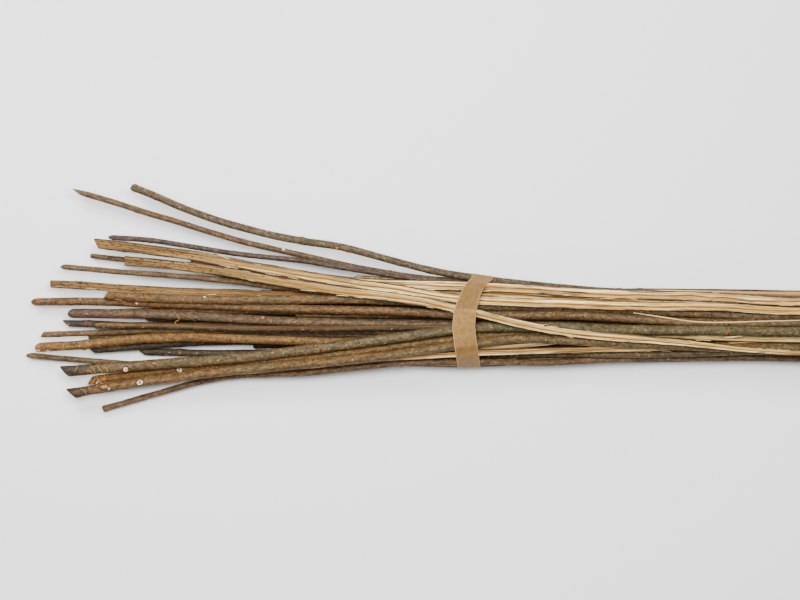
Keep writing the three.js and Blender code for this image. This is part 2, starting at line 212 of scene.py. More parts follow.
def read_rings(node):
    """A packed twig's cross-sections: place, centre, radius, turn of its flat face, slant."""
    points = np.empty(len(node.data.vertices) * 3)
    node.data.vertices.foreach_get("co", points)
    points = points.reshape(-1, 3)
    points = points[np.argsort(points[:, 0])]
    groups = np.split(points, np.where(np.diff(points[:, 0]) > PACKED_GAP)[0] + 1)
    rings = []
    for group in groups:
        y, z = group[:, 1], group[:, 2]
        mean_y, mean_z = y.mean(), z.mean()
        system = np.column_stack([2 * (y - mean_y), 2 * (z - mean_z), np.ones(len(y))])
        answer = np.linalg.lstsq(system, (y - mean_y) ** 2 + (z - mean_z) ** 2, rcond=None)[0]
        radius = math.sqrt(answer[2] + answer[0] ** 2 + answer[1] ** 2)
        plane = np.column_stack([np.ones(len(y)), y - mean_y - answer[0], z - mean_z - answer[1]])
        cut = np.linalg.lstsq(plane, group[:, 0], rcond=None)[0]
        turn = math.atan2(answer[0], answer[1])
        rings.append((cut[0], mean_y + answer[0], mean_z + answer[1], radius, turn, cut[1], cut[2]))
    return np.array(rings)


def place_rings(start, end, marks, lean):
    """Where the cross-sections go: evenly, and closer together at marks and at both ends."""
    places = [start, end]
    x = start
    while x < end:
        near = min(abs(x - mark) for mark in marks) if len(marks) else 1
        to_end = min(x - start, end - x)
        close = near < 6.5 * MM or to_end < max(7 * MM, lean)
        x += FINE_STEP if close else STEP
        places.append(min(x, end))
    places = np.unique(np.round(places, 6))
    return places[np.concatenate([[True], np.diff(places) > LEAST_STEP])]


def profile(split, rng):
    """The points round one cross-section of radius 1, [across, up], and the angle that each lies at.
    A split twig has its round side first, then its flat face."""
    if not split:
        angles = np.arange(ROUND_SIDES) / ROUND_SIDES * TURN
        lumps = 1 + 0.03 * np.sin(2 * angles + rng.uniform(0, 6))
        lumps = lumps + 0.02 * np.sin(3 * angles + rng.uniform(0, 6))
        return np.column_stack([np.cos(angles), np.sin(angles)]) * lumps[:, None], angles
    edge = math.asin(FACE_HEIGHT)
    arc = np.linspace(math.pi - edge, TURN + edge, ARC_SIDES)
    across = np.linspace(math.cos(edge), -math.cos(edge), FACE_SIDES + 2)[1:-1]
    groove = rng.uniform(-0.25, 0.25)
    height = FACE_HEIGHT - 0.05 * hump(across - groove, 0.14)
    height = height + 0.035 * (1 - across**2)
    round_side = np.column_stack([np.cos(arc), np.sin(arc)])
    ring = np.concatenate([round_side, np.column_stack([across, height])])
    return ring, np.concatenate([arc, np.full(len(across), math.pi / 2)])


def add_mesh(name, vertices, faces, slots, materials, values):
    """A mesh object from lists, with its materials and the numbers its materials read."""
    mesh = bpy.data.meshes.new(name)
    mesh.from_pydata(vertices.tolist(), [], faces)
    for material in materials:
        mesh.materials.append(material)
    mesh.polygons.foreach_set("material_index", np.asarray(slots, dtype=np.int32))
    mesh.polygons.foreach_set("use_smooth", np.ones(len(faces), dtype=bool))
    for key, data in values.items():
        kind, field = ("FLOAT", "value") if data.ndim == 1 else ("FLOAT_VECTOR", "vector")
        layer = mesh.attributes.new(key, kind, "POINT")
        layer.data.foreach_set(field, data.astype(np.float32).ravel())
    mesh.validate()
    mesh.update()
    piece = bpy.data.objects.new(name, mesh)
    bpy.context.scene.collection.objects.link(piece)
    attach(piece, "root")
    return piece


def sleeve(rows, count):
    """The faces between rows of points, where each row closes into a ring."""
    index = np.arange(rows * count).reshape(rows, count)
    nxt = np.roll(index, -1, axis=1)
    quads = np.stack([index[:-1], nxt[:-1], nxt[1:], index[1:]], axis=-1)
    return quads.reshape(-1, 4).tolist()


class Skin:
    """The points and faces of one twig, with the numbers that its materials read at each point."""

    def __init__(self):
        self.points, self.stems, self.across, self.knots, self.rims = [], [], [], [], []
        self.faces, self.slots = [], []
        self.size = 0

    def add(self, points, stems, across=0.0, knot=0.0, rim=0.0):
        """Adds points and gives back the number of the first."""
        first = self.size
        self.size += len(points)
        self.points.append(points)
        self.stems.append(np.broadcast_to(stems, points.shape))
        for row, value in ((self.across, across), (self.knots, knot), (self.rims, rim)):
            row.append(np.broadcast_to(value, len(points)))
        return first

    def face(self, corners, slot, flip=False):
        self.faces.append([int(corner) for corner in (corners[::-1] if flip else corners)])
        self.slots.append(slot)


def find_knots(short, start, end, rng):
    """Where a twig's knots are along it. None is under the band."""
    gap = COVERED_KNOT_GAP if "covered" in short else KNOT_GAP
    knots = np.arange(start + rng.uniform(0.2, 0.8) * gap, end - 10 * MM, gap)
    knots = knots + rng.uniform(-0.3, 0.3, len(knots)) * gap
    return knots[np.abs(knots - origin_x - 5 * MM) > KNOT_CLEAR]


def find_scars(short, rings):
    """A twig's scars and stubs: place along, side, radius, the slots of their rings, and length."""
    scars = []
    scar_slots = (ON_BARK, ON_RING, ON_RING, ON_CORE)
    stub_slots = (ON_BARK, ON_BARK, ON_CORE, ON_CORE)
    for table, slots, long in ((SCARS, scar_slots, 1), (STUBS, stub_slots, 1.6)):
        for along, across, size in table.get(short, []):
            at = origin_x + along * MM
            y, r = (np.interp(at, rings[:, 0], rings[:, k]) for k in (1, 3))
            side = math.acos(np.clip((origin_y + across * MM - y) / r, -0.9, 0.9))
            scars.append((at, side, size * MM, slots, long))
    return scars


def find_route(short, rings, x, rng):
    """The twig's centre, radius and turn at each x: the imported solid's, with small bends added."""
    centre_y, centre_z, radius, turn = smooth_read(rings[:, 0], rings[:, 1:5], x).T
    wander = 0.4 * MM * (0.5 if "covered" in short else 1)
    along = x - rings[0, 0]
    bent = along + 0.02 * np.sin(along * 9)
    for wave in (0.23, 0.11, 0.061):
        phase_y, phase_z = rng.uniform(0, 6.3, 2)
        wobble = wander * (wave / 0.23) ** 1.3
        centre_y = centre_y + wobble * np.sin(bent / wave * WAVE + phase_y)
        centre_z = centre_z + 0.8 * wobble * np.sin(along / wave * WAVE + phase_z)
    from_band = (x - origin_x) / MM
    if short in NUDGED:
        at, reach, aside = NUDGED[short]
        centre_y = centre_y + aside * MM * hump(from_band - at, reach)
    if short in SLIMMER:
        share = np.interp(from_band, *SLIMMER[short])
        centre_z = centre_z - (1 - share) * radius
        radius = radius * share
    return centre_y, centre_z, radius, turn


def swellings(x, start, angles, on_round, knots, scars, rng):
    """How far each point bulges, as a share of the radius, and how much of a knot it is."""
    swell = np.zeros((len(x), len(angles)))
    knot = np.zeros((len(x), len(angles)))

    def apart(place, side):
        """How far each cross-section and each point round it lie from a place on the bark."""
        return (x - place)[:, None], np.angle(np.exp(1j * (angles - side)))[None, :]

    knot_turn = rng.uniform(0, WAVE) + np.arange(len(knots)) * KNOT_TWIST
    for place, side in zip(knots, knot_turn):
        away, turned = apart(place, side)
        swell += 0.05 * hump(away, 5 * MM) * on_round
        bud = np.exp(-((away / (2.2 * MM)) ** 2) - (turned / 0.55) ** 2) * on_round
        swell += 0.15 * bud
        knot += np.clip(bud * 1.4 + 0.35 * hump(away, 1.6 * MM) * on_round, 0, 1)
    for place, side, *_ in scars:
        away, turned = apart(place, side)
        swell += 0.09 * np.exp(-((away / (4 * MM)) ** 2) - (turned / 0.8) ** 2) * on_round
    along = (x - start)[:, None]
    for wave, size in ((0.047, 0.014), (0.017, 0.010)):
        swell += size * np.sin(along / wave * WAVE + 2 * angles[None, :] + rng.uniform(0, 6.3))
    return np.clip(swell, -0.08, 0.24), np.clip(knot, 0, 1)


def worn_ends(short, x, start, end):
    """The outermost rings draw in, so that the cut ends have a worn edge."""
    to_end = np.minimum(x - start, end - x)
    worn = 1 - 0.16 * hump(to_end, 0.9 * MM)
    if short in ROUNDED:
        worn = worn - 0.34 * hump(x - start, 2.4 * MM)
    return worn[:, None]


def face_ridges(on_face, along, rng):
    """Long shallow ridges along a torn face, as shares of the radius."""
    ridges = 0.035 * np.sin(on_face * 6 + along * 9 + rng.uniform(0, 6))
    ridges += 0.03 * np.sin(on_face * 11 - along * 14 + rng.uniform(0, 6))
    ridges += 0.02 * np.sin(along * 70 + on_face * 2)
    return ridges * (1 - on_face**2)


def end_slant(rings, x, y, z, lean):
    """Near each end the cross-sections slant as its cut does: how far each point moves along."""
    reach = max(9 * MM, lean)
    at_start = np.clip(1 - (x - rings[0, 0]) / reach, 0, 1)[:, None]
    at_end = np.clip(1 - (rings[-1, 0] - x) / reach, 0, 1)[:, None]
    shift = (rings[0, 5] * y + rings[0, 6] * z) * at_start
    return shift + (rings[-1, 5] * y + rings[-1, 6] * z) * at_end


def close_end(skin, ring, ring_stems, first, outward, rng):
    """A cut end: a few rings drawn in towards the pith, slightly rough."""
    count = len(ring)
    middle = ring.mean(axis=0)
    stem_middle = ring_stems.mean(axis=0)
    previous = np.arange(first, first + count)
    for share in CUT_RINGS:
        inner = middle + (ring - middle) * share
        inner[:, 0] += outward * rng.normal(0, 0.14 * MM, count) * share
        inner[:, 0] += outward * 0.25 * MM * (1 - share)
        base = skin.add(inner, stem_middle + (ring_stems - stem_middle) * share, rim=share)
        current = np.arange(base, base + count)
        for i in range(count):
            j = (i + 1) % count
            skin.face([previous[i], previous[j], current[j], current[i]], ON_CUT, outward < 0)
        previous = current
    centre = skin.add(middle[None, :] + [[outward * 0.1 * MM, 0, 0]], stem_middle)
    for i in range(count):
        skin.face([previous[i], previous[(i + 1) % count], centre], ON_CUT, outward < 0)


def add_scar(skin, root, out, stem, scar, rng):
    """The scar of a side shoot: a low stub with a pale ring round a darker middle."""
    _, _, size, slots, long = scar
    out[0] = 0
    out = out / np.linalg.norm(out)
    side_way = np.cross(out, [1.0, 0, 0])
    around = np.arange(SCAR_SIDES) / SCAR_SIDES * TURN
    oval = 1 + 0.14 * np.sin(2 * around + rng.uniform(0, 6))
    oval = oval + 0.09 * np.sin(3 * around + rng.uniform(0, 6))
    circle = np.cos(around)[:, None] * np.array([long, 0, 0]) + np.sin(around)[:, None] * side_way
    circle = circle * oval[:, None]
    base = skin.size
    for share, lift in SCAR_RINGS:
        points = root + circle * size * share + out * lift
        skin.add(points, stem, knot=1.0 if share > 0.9 else 0.0, rim=share)
    centre = skin.add((root + out * 0.25 * MM)[None, :], stem, knot=1.0)
    for row in range(len(SCAR_RINGS) - 1):
        a = base + row * SCAR_SIDES
        b = a + SCAR_SIDES
        for i in range(SCAR_SIDES):
            j = (i + 1) % SCAR_SIDES
            skin.face([a + j, a + i, b + i, b + j], slots[row])
    last = centre - SCAR_SIDES
    for i in range(SCAR_SIDES):
        skin.face([last + (i + 1) % SCAR_SIDES, last + i, centre], slots[-1])


def twig_values(short, skin, points, start, pith_place):
    """The numbers that the materials read at each point of a twig."""
    from_butt = points[:, 0] - start
    t = np.clip(from_butt / 0.6, 0, 1)[:, None]
    butt = 1 - DARK_BUTTS.get(short, 0) * hump(from_butt, 32 * MM)[:, None]
    bark_from, bark_to = (tint(c, BARK_FULLNESS) for c in BARK.get(short, BARK_DEFAULT))
    wood_from, wood_to = (tint(c) for c in WOOD.get(short, WOOD_DEFAULT))
    butt_place = (start - origin_x) / MM
    dark_until, pale_from = WEATHERED.get(short, (butt_place + 100, butt_place + 420))
    beyond = (points[:, 0] - origin_x) / MM - dark_until
    pale = np.clip(beyond / (pale_from - dark_until), 0, 1)[:, None]
    across = np.concatenate(skin.across)
    return {
        "stem": np.concatenate(skin.stems),
        "across": across,
        "pith": across - pith_place,
        "knot": np.concatenate(skin.knots),
        "rim": np.concatenate(skin.rims),
        "grime": np.clip(1.15 - from_butt / 0.26, 0, 1),
        "bark_tint": BARK_DEPTH * butt * (bark_from * (1 - t) + bark_to * t),
        "wood_tint": wood_from * (1 - pale) + wood_to * pale,
    }


def build_twig(name, number):
    """One twig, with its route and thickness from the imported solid. Returns that route."""
    rng = np.random.default_rng(1000 + number)
    kind, short = name.split("_twig_")
    split = kind == "split"
    rings = read_rings(nodes[name])
    start, end = rings[0, 0], rings[-1, 0]
    lean = 3 * max(np.abs(rings[0, 5:]).max(), np.abs(rings[-1, 5:]).max()) * rings[0, 3]
    knots = find_knots(short, start, end, rng)
    scars = find_scars(short, rings)
    x = place_rings(start, end, [*knots, *(scar[0] for scar in scars)], lean)
    centre_y, centre_z, radius, turn = find_route(short, rings, x, rng)
    if not split:
        turn = np.zeros(len(x))
    ring, angles = profile(split, rng)
    n, count = len(x), len(ring)
    on_round = np.ones(count)
    if split:
        on_round[ARC_SIDES:] = 0.15
    swell, knot = swellings(x, start, angles, on_round, knots, scars, rng)
    scale = radius[:, None] * (1 + swell) * worn_ends(short, x, start, end)
    across = ring[None, :, 0] * scale
    height = np.broadcast_to(ring[None, :, 1], scale.shape).copy()
    along = (x - start)[:, None]
    if split:
        height[:, ARC_SIDES:] += face_ridges(ring[None, ARC_SIDES:, 0], along, rng)
    height = height * scale
    y = across * np.cos(turn)[:, None] + height * np.sin(turn)[:, None]
    z = height * np.cos(turn)[:, None] - across * np.sin(turn)[:, None]
    shift = end_slant(rings, x, y, z, lean)
    grid = np.stack([x[:, None] + shift, centre_y[:, None] + y, centre_z[:, None] + z], axis=-1)
    stem_along = np.broadcast_to(along + shift + number * 1.7, across.shape)
    stem = np.stack([stem_along, across, height], axis=-1)

    skin = Skin()
    face = np.broadcast_to(np.clip(ring[:, 0] / FACE_REACH, -1, 1)[None, :], across.shape)
    skin.add(grid.reshape(-1, 3), stem.reshape(-1, 3), face.ravel(), knot.ravel())
    slots = np.full((n - 1, count), ON_BARK)
    if split:
        slots[:, ARC_SIDES - 1 :] = ON_WOOD
    skin.faces += sleeve(n, count)
    skin.slots += slots.ravel().tolist()
    for row, outward in ((0, -1), (n - 1, 1)):
        close_end(skin, grid[row], stem[row], row * count, outward, rng)
    for scar in scars:
        place, side = scar[:2]
        k = int(np.argmin(np.abs(x - place)))
        spot = int(np.argmin(np.abs(np.angle(np.exp(1j * (angles - side))))))
        out = grid[k, spot] - np.array([x[k], centre_y[k], centre_z[k]])
        add_scar(skin, grid[k, spot], out, stem[k, spot], scar, rng)

    points = np.concatenate(skin.points)
    points[:, 2] = np.maximum(points[:, 2], LOWEST)
    pith_place = PITH.get(short, rng.uniform(-0.25, 0.25))
    looks = [BARK_LOOK, WOOD_LOOK, CUT_LOOK, RING_LOOK, CORE_LOOK]
    values = twig_values(short, skin, points, start, pith_place)
    piece = add_mesh(name + "_look", points, skin.faces, skin.slots, looks, values)
    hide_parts(name)
    return np.column_stack([x, centre_y, centre_z, radius, turn])


class Look:
    """A material made of nodes, with short names for the nodes that the looks below share."""

    def __init__(self, name, sheen=0.5):
        self.material = bpy.data.materials.new(name)
        self.material.use_nodes = True
        self.tree = self.material.node_tree
        self.shader = self.tree.nodes["Principled BSDF"]
        self.shader.inputs["Specular IOR Level"].default_value = sheen

    def put(self, socket, value):
        """Links a node's output to an input, or gives the input a value."""
        if isinstance(value, bpy.types.NodeSocket):
            self.tree.links.new(value, socket)
        else:
            socket.default_value = value

    def number(self, name):
        node = self.tree.nodes.new("ShaderNodeAttribute")
        node.attribute_name = name
        return node.outputs["Fac"]

    def triple(self, name):
        node = self.tree.nodes.new("ShaderNodeAttribute")
        node.attribute_name = name
        return node.outputs["Vector"]

    def stretch(self, vector, sizes):
        """Coordinates in which one unit is as long as the sizes given, in millimetres."""
        node = self.tree.nodes.new("ShaderNodeVectorMath")
        node.operation = "MULTIPLY"
        self.put(node.inputs[0], vector)
        node.inputs[1].default_value = [1000 / s for s in sizes]
        return node.outputs[0]

    def noise(self, vector, sizes, detail, rough, bend=0.0):
        place = self.stretch(vector, sizes)
        node = self.tree.nodes.new("ShaderNodeTexNoise")
        self.put(node.inputs["Vector"], place)
        node.inputs["Scale"].default_value = 1.0
        node.inputs["Detail"].default_value = detail
        node.inputs["Roughness"].default_value = rough
        node.inputs["Distortion"].default_value = bend
        return node.outputs["Fac"]

    def dots(self, vector, sizes):
        """Scattered dots: the distance to the nearest, and a random colour of its own."""
        place = self.stretch(vector, sizes)
        node = self.tree.nodes.new("ShaderNodeTexVoronoi")
        self.put(node.inputs["Vector"], place)
        node.inputs["Scale"].default_value = 1.0
        return node.outputs["Distance"], node.outputs["Color"]

    def reckon(self, kind, a, b=0.0):
        """Arithmetic with numbers or nodes' outputs."""
        node = self.tree.nodes.new("ShaderNodeMath")
        node.operation = kind
        self.put(node.inputs[0], a)
        self.put(node.inputs[1], b)
        return node.outputs[0]

    def times(self, a, b):
        return self.reckon("MULTIPLY", a, b)

    def plus(self, a, b):
        return self.reckon("ADD", a, b)

    def less(self, a, b):
        return self.reckon("SUBTRACT", a, b)

    def size_of(self, a):
        return self.reckon("ABSOLUTE", a)

    def fade(self, value, low, high, to_low=0.0, to_high=1.0):
        """Turns low to high smoothly into to_low to to_high."""
        node = self.tree.nodes.new("ShaderNodeMapRange")
        node.interpolation_type = "SMOOTHSTEP"
        self.put(node.inputs["Value"], value)
        node.inputs["From Min"].default_value = low
        node.inputs["From Max"].default_value = high
        node.inputs["To Min"].default_value = to_low
        node.inputs["To Max"].default_value = to_high
        return node.outputs["Result"]

    def mix(self, share, a, b):
        """A colour between a and b, which may be written as 0 to 255."""
        node = self.tree.nodes.new("ShaderNodeMix")
        node.data_type = "RGBA"
        self.put(node.inputs["Factor"], share)
        colours = [s for s in node.inputs if s.type == "RGBA"]
        for socket, value in zip(colours, (a, b)):
            if isinstance(value, tuple):
                value = [*tint(value), 1.0]
            self.put(socket, value)
        return [s for s in node.outputs if s.type == "RGBA"][0]

    def brighten(self, colour, factor):
        """The colour times a factor."""
        node = self.tree.nodes.new("ShaderNodeVectorMath")
        node.operation = "SCALE"
        self.put(node.inputs[0], colour)
        self.put(node.inputs["Scale"], factor)
        return node.outputs[0]

    def bumps(self, layers):
        """Bump from several heights, each [height, depth in millimetres]."""
        normal = None
        for height, depth in layers:
            node = self.tree.nodes.new("ShaderNodeBump")
            node.inputs["Strength"].default_value = 1.0
            node.inputs["Distance"].default_value = depth * MM
            self.put(node.inputs["Height"], height)
            if normal is not None:
                self.put(node.inputs["Normal"], normal)
            normal = node.outputs["Normal"]
        self.put(self.shader.inputs["Normal"], normal)

    def finish(self, colour, rough):
        self.put(self.shader.inputs["Base Color"], colour)
        self.put(self.shader.inputs["Roughness"], rough)
        return self.material


def bark_look():
    look = Look("bark_look", 0.3)
    stem = look.triple("stem")
    blotch = look.noise(stem, (34, 9, 9), 3, 0.6)
    patch = look.noise(stem, (8, 4.6, 4.6), 4, 0.65, 0.4)
    streak = look.noise(stem, (26, 2.4, 2.4), 3, 0.6)
    grain = look.noise(stem, (3.4, 2.4, 2.4), 3, 0.7)
    base = look.brighten(look.triple("bark_tint"), look.fade(patch, 0.3, 0.72, 0.55, 1.5))
    olive = look.mix(0.5, (70, 66, 44), base)
    colour = look.mix(look.fade(blotch, 0.44, 0.64, 0.0, 0.7), base, olive)
    colour = look.brighten(colour, look.fade(streak, 0.3, 0.7, 0.8, 1.22))
    colour = look.brighten(colour, look.fade(grain, 0.32, 0.68, 0.5, 1.6))
    # dark stains and cracks
    stain = look.noise(stem, (5.5, 3, 3), 5, 0.7, 0.8)
    colour = look.mix(look.fade(stain, 0.57, 0.65, 0.0, 0.85), colour, (26, 19, 15))
    # pores: rust-coloured spots with a dark middle, and small pale flecks
    distance, chance = look.dots(stem, (12.0, 8.5, 8.5))
    chosen = look.fade(chance, 0.4, 0.5)
    spot = look.times(look.fade(distance, 0.12, 0.21, 1.0, 0.0), chosen)
    colour = look.mix(look.times(spot, 0.75), colour, (104, 68, 38))
    heart = look.times(look.fade(distance, 0.05, 0.1, 1.0, 0.0), chosen)
    colour = look.mix(look.times(heart, 0.9), colour, (48, 26, 16))
    small, luck = look.dots(stem, (6.4, 4.6, 4.6))
    fleck = look.times(look.fade(small, 0.12, 0.19, 1.0, 0.0), look.fade(luck, 0.6, 0.68))
    colour = look.mix(look.times(fleck, 0.7), colour, (184, 150, 100))
    knot = look.number("knot")
    colour = look.mix(look.fade(knot, 0.15, 0.6, 0.0, 0.6), colour, (104, 70, 38))
    colour = look.mix(look.fade(knot, 0.72, 0.95, 0.0, 0.85), colour, (50, 30, 18))
    look.bumps([(streak, 0.15), (grain, 0.35), (stain, -0.5), (spot, 0.5), (fleck, 0.2)])
    return look.finish(colour, look.fade(patch, 0.3, 0.7, 0.72, 0.55))


def wood_look():
    look = Look("wood_look", 0.3)
    stem = look.triple("stem")
    across = look.number("across")
    fibre = look.noise(stem, (70, 1.5, 1.5), 5, 0.62)
    stripe = look.noise(stem, (190, 2.2, 4), 3, 0.5)
    cloud = look.noise(stem, (40, 9, 9), 3, 0.55)
    wood = look.triple("wood_tint")
    colour = look.brighten(wood, look.fade(cloud, 0.3, 0.7, 0.8, 1.16))
    pale = look.fade(look.number("wood_tint"), 0.12, 0.55)
    golden = look.mix(look.fade(pale, 0.0, 1.0, 0.12, 0.5), look.brighten(wood, 0.72), (138, 88, 26))
    colour = look.mix(look.fade(stripe, 0.5, 0.56, 0.0, 0.9), colour, golden)
    bright = look.mix(look.times(pale, 0.75), look.brighten(wood, 1.25), (255, 234, 196))
    colour = look.mix(look.fade(stripe, 0.5, 0.44, 0.0, 0.95), colour, bright)
    line = look.noise(stem, (110, 1.8, 2.4), 3, 0.6)
    colour = look.mix(look.fade(line, 0.51, 0.57, 0.0, 0.8), colour, look.brighten(golden, 0.75))
    colour = look.mix(look.fade(fibre, 0.52, 0.59, 0.0, 0.9), colour, look.brighten(wood, 0.24))
    # the pith: a golden-brown line that wanders a little from the middle
    drift = look.noise(stem, (90, 400, 400), 2, 0.5)
    place = look.plus(look.number("pith"), look.fade(drift, 0.2, 0.8, -0.3, 0.3))
    pith = look.fade(look.size_of(place), 0.15, 0.32, 1.0, 0.0)
    strength = look.fade(look.noise(stem, (30, 400, 400), 2, 0.5), 0.3, 0.55, 0.6, 1.0)
    strength = look.times(strength, look.fade(pale, 0.0, 0.6, 0.25, 1.0))
    colour = look.mix(look.times(pith, strength), colour, (152, 106, 32))
    heart = look.fade(look.size_of(place), 0.04, 0.13, 1.0, 0.0)
    colour = look.mix(look.times(heart, strength), colour, (92, 58, 20))
    # thin dark cracks, and a dark line along both sides of the face: the bark's edge, deepened with
    # painted shade of the gaps between splits
    crack = look.noise(stem, (70, 1.7, 3), 3, 0.6)
    colour = look.mix(look.fade(crack, 0.59, 0.65, 0.0, 0.9), colour, (40, 24, 14))
    dirt = look.noise(stem, (6, 2.3, 2.3), 4, 0.7)
    ragged = look.noise(stem, (60, 6, 6), 4, 0.6)
    torn = look.plus(look.size_of(across), look.fade(ragged, 0.3, 0.7, -0.1, 0.14))
    edge = look.fade(torn, 0.8, 0.92)
    colour = look.mix(look.times(edge, 0.92), colour, (44, 28, 16))
    grime = look.fade(look.number("grime"), 0.0, 1.0, 0.655, 0.52)
    soiled = look.fade(look.less(dirt, grime), 0.0, 0.06, 0.0, 0.9)
    colour = look.mix(soiled, colour, (40, 25, 15))
    look.bumps([(fibre, 0.5), (stripe, 0.5), (crack, -0.6), (dirt, -0.2)])
    return look.finish(colour, look.fade(fibre, 0.3, 0.7, 0.6, 0.75))


def cut_look():
    look = Look("cut_look")
    stem = look.triple("stem")
    rim = look.number("rim")
    rings = look.noise(stem, (4, 1.1, 1.1), 4, 0.7)
    colour = look.mix(look.fade(rings, 0.35, 0.65), (146, 112, 76), (204, 174, 132))
    colour = look.mix(look.fade(rim, 0.84, 0.99), colour, (78, 56, 38))
    colour = look.mix(look.fade(rim, 0.2, 0.06), colour, (112, 70, 38))
    look.bumps([(rings, 0.3)])
    return look.finish(colour, look.fade(rings, 0.2, 0.8, 0.65, 0.85))


def spot_look(name, dark, pale):
    look = Look(name)
    speckle = look.noise(look.triple("stem"), (1.2, 0.9, 0.9), 3, 0.6)
    place = look.tree.nodes.new("ShaderNodeTexCoord").outputs["Object"]
    fine = look.noise(place, (2.4, 2.4, 2.4), 4, 0.6)
    colour = look.mix(look.fade(fine, 0.46, 0.56), dark, pale)
    look.bumps([(fine, 0.2), (speckle, 0.1)])
    return look.finish(colour, look.fade(fine, 0.2, 0.8, 0.6, 0.8))


def paper_look():
    look = Look("paper_look", 0.25)
    sheet = look.triple("sheet")
    pulp = look.noise(sheet, (1.6, 0.5, 1), 4, 0.7)
    mottle = look.noise(sheet, (9, 6, 4), 3, 0.6)
    hair = look.noise(sheet, (7, 0.35, 1), 3, 0.6, 1.2)
    colour = look.mix(look.fade(mottle, 0.3, 0.7), (114, 86, 54), (134, 104, 68))
    # painted sheen highlight near the strip's beginning and painted shade at its stuck-down end
    colour = look.brighten(colour, look.number("sheen_and_shade"))
    colour = look.brighten(colour, look.fade(pulp, 0.3, 0.7, 0.92, 1.08))
    colour = look.mix(look.fade(hair, 0.62, 0.75, 0.0, 0.4), colour, (112, 76, 40))
    # a pale line along both edges of the strip: a painted highlight
    colour = look.mix(look.fade(look.number("rim"), 0.9, 0.98, 0.0, 0.45), colour, (206, 180, 138))
    look.bumps([(pulp, 0.05), (mottle, 0.12)])
    return look.finish(colour, look.fade(mottle, 0.3, 0.7, 0.5, 0.62))


def fibre_look(name, dark, pale):
    look = Look(name)
    stem = look.triple("stem")
    fibre = look.noise(stem, (12, 0.3, 0.3), 3, 0.6)
    colour = look.mix(look.fade(fibre, 0.35, 0.65), dark, pale)
    look.bumps([(fibre, 0.08)])
    return look.finish(colour, look.fade(fibre, 0.2, 0.8, 0.5, 0.65))


BARK_LOOK = bark_look()
WOOD_LOOK = wood_look()
CUT_LOOK = cut_look()
RING_LOOK = spot_look("scar_ring_look", (150, 112, 70), (252, 248, 240))
CORE_LOOK = spot_look("scar_core_look", (84, 54, 32), (176, 124, 66))
PAPER_LOOK = paper_look()
STRAW_LOOK = fibre_look("straw_look", (112, 80, 42), (190, 150, 92))
SPLINTER_LOOK = fibre_look("splinter_look", (206, 160, 100), (255, 232, 184))
SHRED_LOOK = fibre_look("shred_look", (44, 28, 16), (104, 72, 42))

# The band's middle, as the photograph shows it from the butt ends of two twigs
origin_x = read_rings(nodes["whole_twig_low_edge"])[0, 0] + 454 * MM
origin_y = read_rings(nodes["whole_twig_top_edge"])[0, 1] - 167 * MM

twig_names = sorted(name for name in nodes if name != "paper_band")
routes = [build_twig(name, number) for number, name in enumerate(twig_names)]
route_of = {name.split("_twig_")[1]: route for name, route in zip(twig_names, routes)}


def hull_of(points):
    """The convex outline of points, anticlockwise."""
    points = points[np.lexsort((points[:, 1], points[:, 0]))].tolist()

    def chain(row):
        kept = []
        for p in row:
            while len(kept) > 1:
                (ox, oy), (ax, ay) = kept[-2], kept[-1]
                if (ax - ox) * (p[1] - oy) - (ay - oy) * (p[0] - ox) > 1e-12:
                    break
                kept.pop()
            kept.append(p)
        return kept[:-1]

    return np.array(chain(points) + chain(points[::-1]))


def section(x, grown):
    """The convex outline round all the twigs at x, grown by some distance."""
    angles = np.arange(40) / 40 * TURN
    points = []
    for route in routes:
        if not route[0, 0] <= x <= route[-1, 0]:
            continue
        y, z, r = (np.interp(x, route[:, 0], route[:, k]) for k in (1, 2, 3))
        reach = r * 1.03 + grown
        points.append(np.column_stack([y + np.cos(angles) * reach, z + np.sin(angles) * reach]))
    return hull_of(np.concatenate(points))


def polar(outline, middle, angles):
    """How far an outline lies from a point inside it, at each angle."""
    closed = np.vstack([outline, outline[:1]]) - middle
    turns = np.unwrap(np.arctan2(closed[:, 1], closed[:, 0]))
    found = []
    for angle in angles:
        a = turns[0] + (angle - turns[0]) % TURN
        k = min(np.searchsorted(turns, a, side="right") - 1, len(outline) - 1)
        (x1, y1), (x2, y2) = closed[k], closed[k + 1]
        cos, sin = math.cos(angle), math.sin(angle)
        found.append((x1 * y2 - x2 * y1) / (cos * (y2 - y1) - sin * (x2 - x1)))
    return np.array(found)


# The strip: rows of points along it and across it, directions in which the bundle is measured for
# it, the angles from +Y at which it begins and ends, and the paper's thickness
BAND_ROWS = 620
BAND_COLUMNS = 15
AROUND = 720
BAND_BEGINS = math.radians(44)
BAND_ENDS = math.radians(67) + TURN
PAPER = 0.2 * MM
# In millimetres: how far its end lies over its beginning, its right edge lifts, its crease stands
OVERLAP_LIFT = 0.42
EDGE_LIFT = 3.8
CREASE_LIFT = 0.5
# On the upper side: places across the bundle, how far along it the strip's middle lies there, and
# how wide the strip looks. On the underside both change evenly from side to side.
BAND_ACROSS = [-54, -31, -8.5, 1.2, 12.5, 20, 27.5, 44, 54]
BAND_ALONG = [4.5, 0.6, -2.1, -1.2, -0.1, 2.6, 5, 12, 22]
BAND_WIDE = [0.98, 0.98, 0.98, 0.97, 0.95, 0.92, 0.9, 0.88, 0.9]


def band_places(middle, angle, v):
    """Where the strip lies along the bundle, at each angle round it and each place v across it."""
    turned = np.degrees(angle) % 360
    reach = polar(section(origin_x, 0.5 * MM), middle, angle)
    at = (middle[0] - origin_y + reach * np.cos(angle)) / MM

    def read(values):
        below = np.interp(turned, [180, 360], [values[0], values[-1]])
        return np.where(turned < 180, np.interp(at, BAND_ACROSS, values), below)

    slip = np.convolve(np.pad(read(BAND_ALONG), 6, mode="edge"), np.ones(13) / 13, mode="valid") * MM
    x = origin_x + slip[:, None] + v[None, :] * BAND_WIDTH * read(BAND_WIDE)[:, None]
    # the cut ends are a little askew
    x[-1] += np.linspace(-0.6, 0.5, BAND_COLUMNS) * MM
    x[0] += np.linspace(0.5, -0.4, BAND_COLUMNS) * MM
    return x


